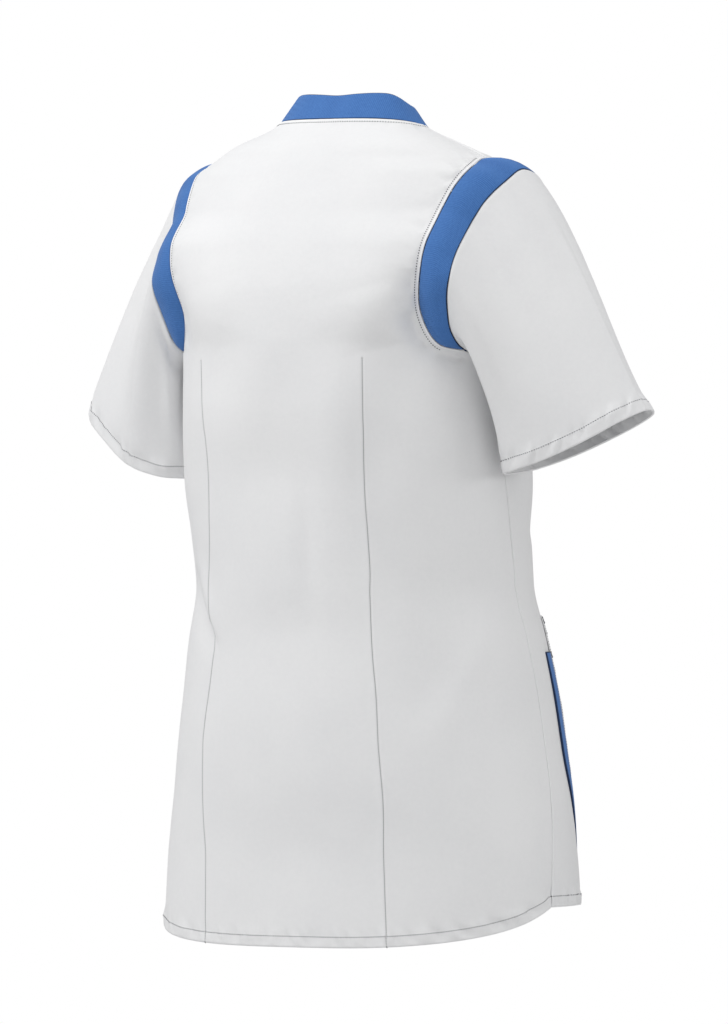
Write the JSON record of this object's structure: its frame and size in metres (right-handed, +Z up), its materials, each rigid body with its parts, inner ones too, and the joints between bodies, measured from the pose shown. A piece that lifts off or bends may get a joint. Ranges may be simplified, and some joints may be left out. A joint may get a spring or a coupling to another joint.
{
  "type": "medical tunic",
  "caption": "Short-sleeved V-neck medical tunic as worn but empty: white woven cloth, blue rib-knit collar, shoulder insets and pocket bands, shaped hem",
  "frame": {"origin": "middle of the neck opening, level with the points where the shoulder seams meet the collar; this is where a wearer's neck and shoulders hold the garment", "axes": "+Z up along the body, +X to the wearer's left, -Y to the wearer's front"},
  "size_m": [0.608, 0.2993, 0.765],
  "materials": {
    "white_cloth": "white polyester and cotton plain weave, matt, pressed",
    "blue_knit": "mid-blue fine rib knit, matt, slightly stretched"
  },
  "bodies": {
    "root": {"back": "white_cloth", "front": "white_cloth", "pocket_left": "white_cloth", "pocket_right": "white_cloth", "pocket_band_left": "blue_knit", "pocket_band_right": "blue_knit", "insert_left": "blue_knit", "insert_right": "blue_knit", "sleeve_left": "white_cloth", "sleeve_right": "white_cloth", "collar": "blue_knit"}
  },
  "joints": []
}
